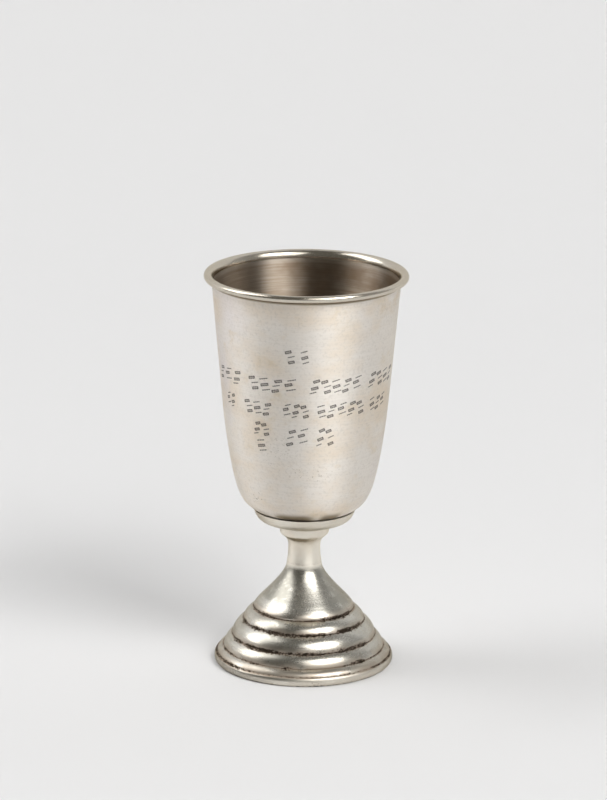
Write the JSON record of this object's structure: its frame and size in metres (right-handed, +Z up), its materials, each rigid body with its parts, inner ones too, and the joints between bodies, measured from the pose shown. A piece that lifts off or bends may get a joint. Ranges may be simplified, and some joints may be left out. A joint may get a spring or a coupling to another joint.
{
  "type": "kiddush cup",
  "caption": "Footed silver ritual wine cup: tapering bowl with a rolled rim, shallow collar, waisted stem and hollow stepped bell foot.",
  "frame": {"origin": "on the table, under the middle of the cup, at the plane of the foot's resting ring", "axes": "+Z up along the cup's own axis; the inscribed front faces -Y"},
  "size_m": [0.0656, 0.0656, 0.13],
  "materials": {
    "bowl_silver": "satin silver with fine turning lines and a warm tarnish, dark and brushed inside",
    "collar_silver": "worn satin silver, dark in the seam under the bowl",
    "stem_silver": "satin silver with faint brown staining",
    "foot_silver": "polished silver with brown-black tarnish in the grooves"
  },
  "bodies": {
    "root": {"bowl": "bowl_silver", "collar": "collar_silver", "stem": "stem_silver", "foot": "foot_silver"}
  },
  "joints": []
}
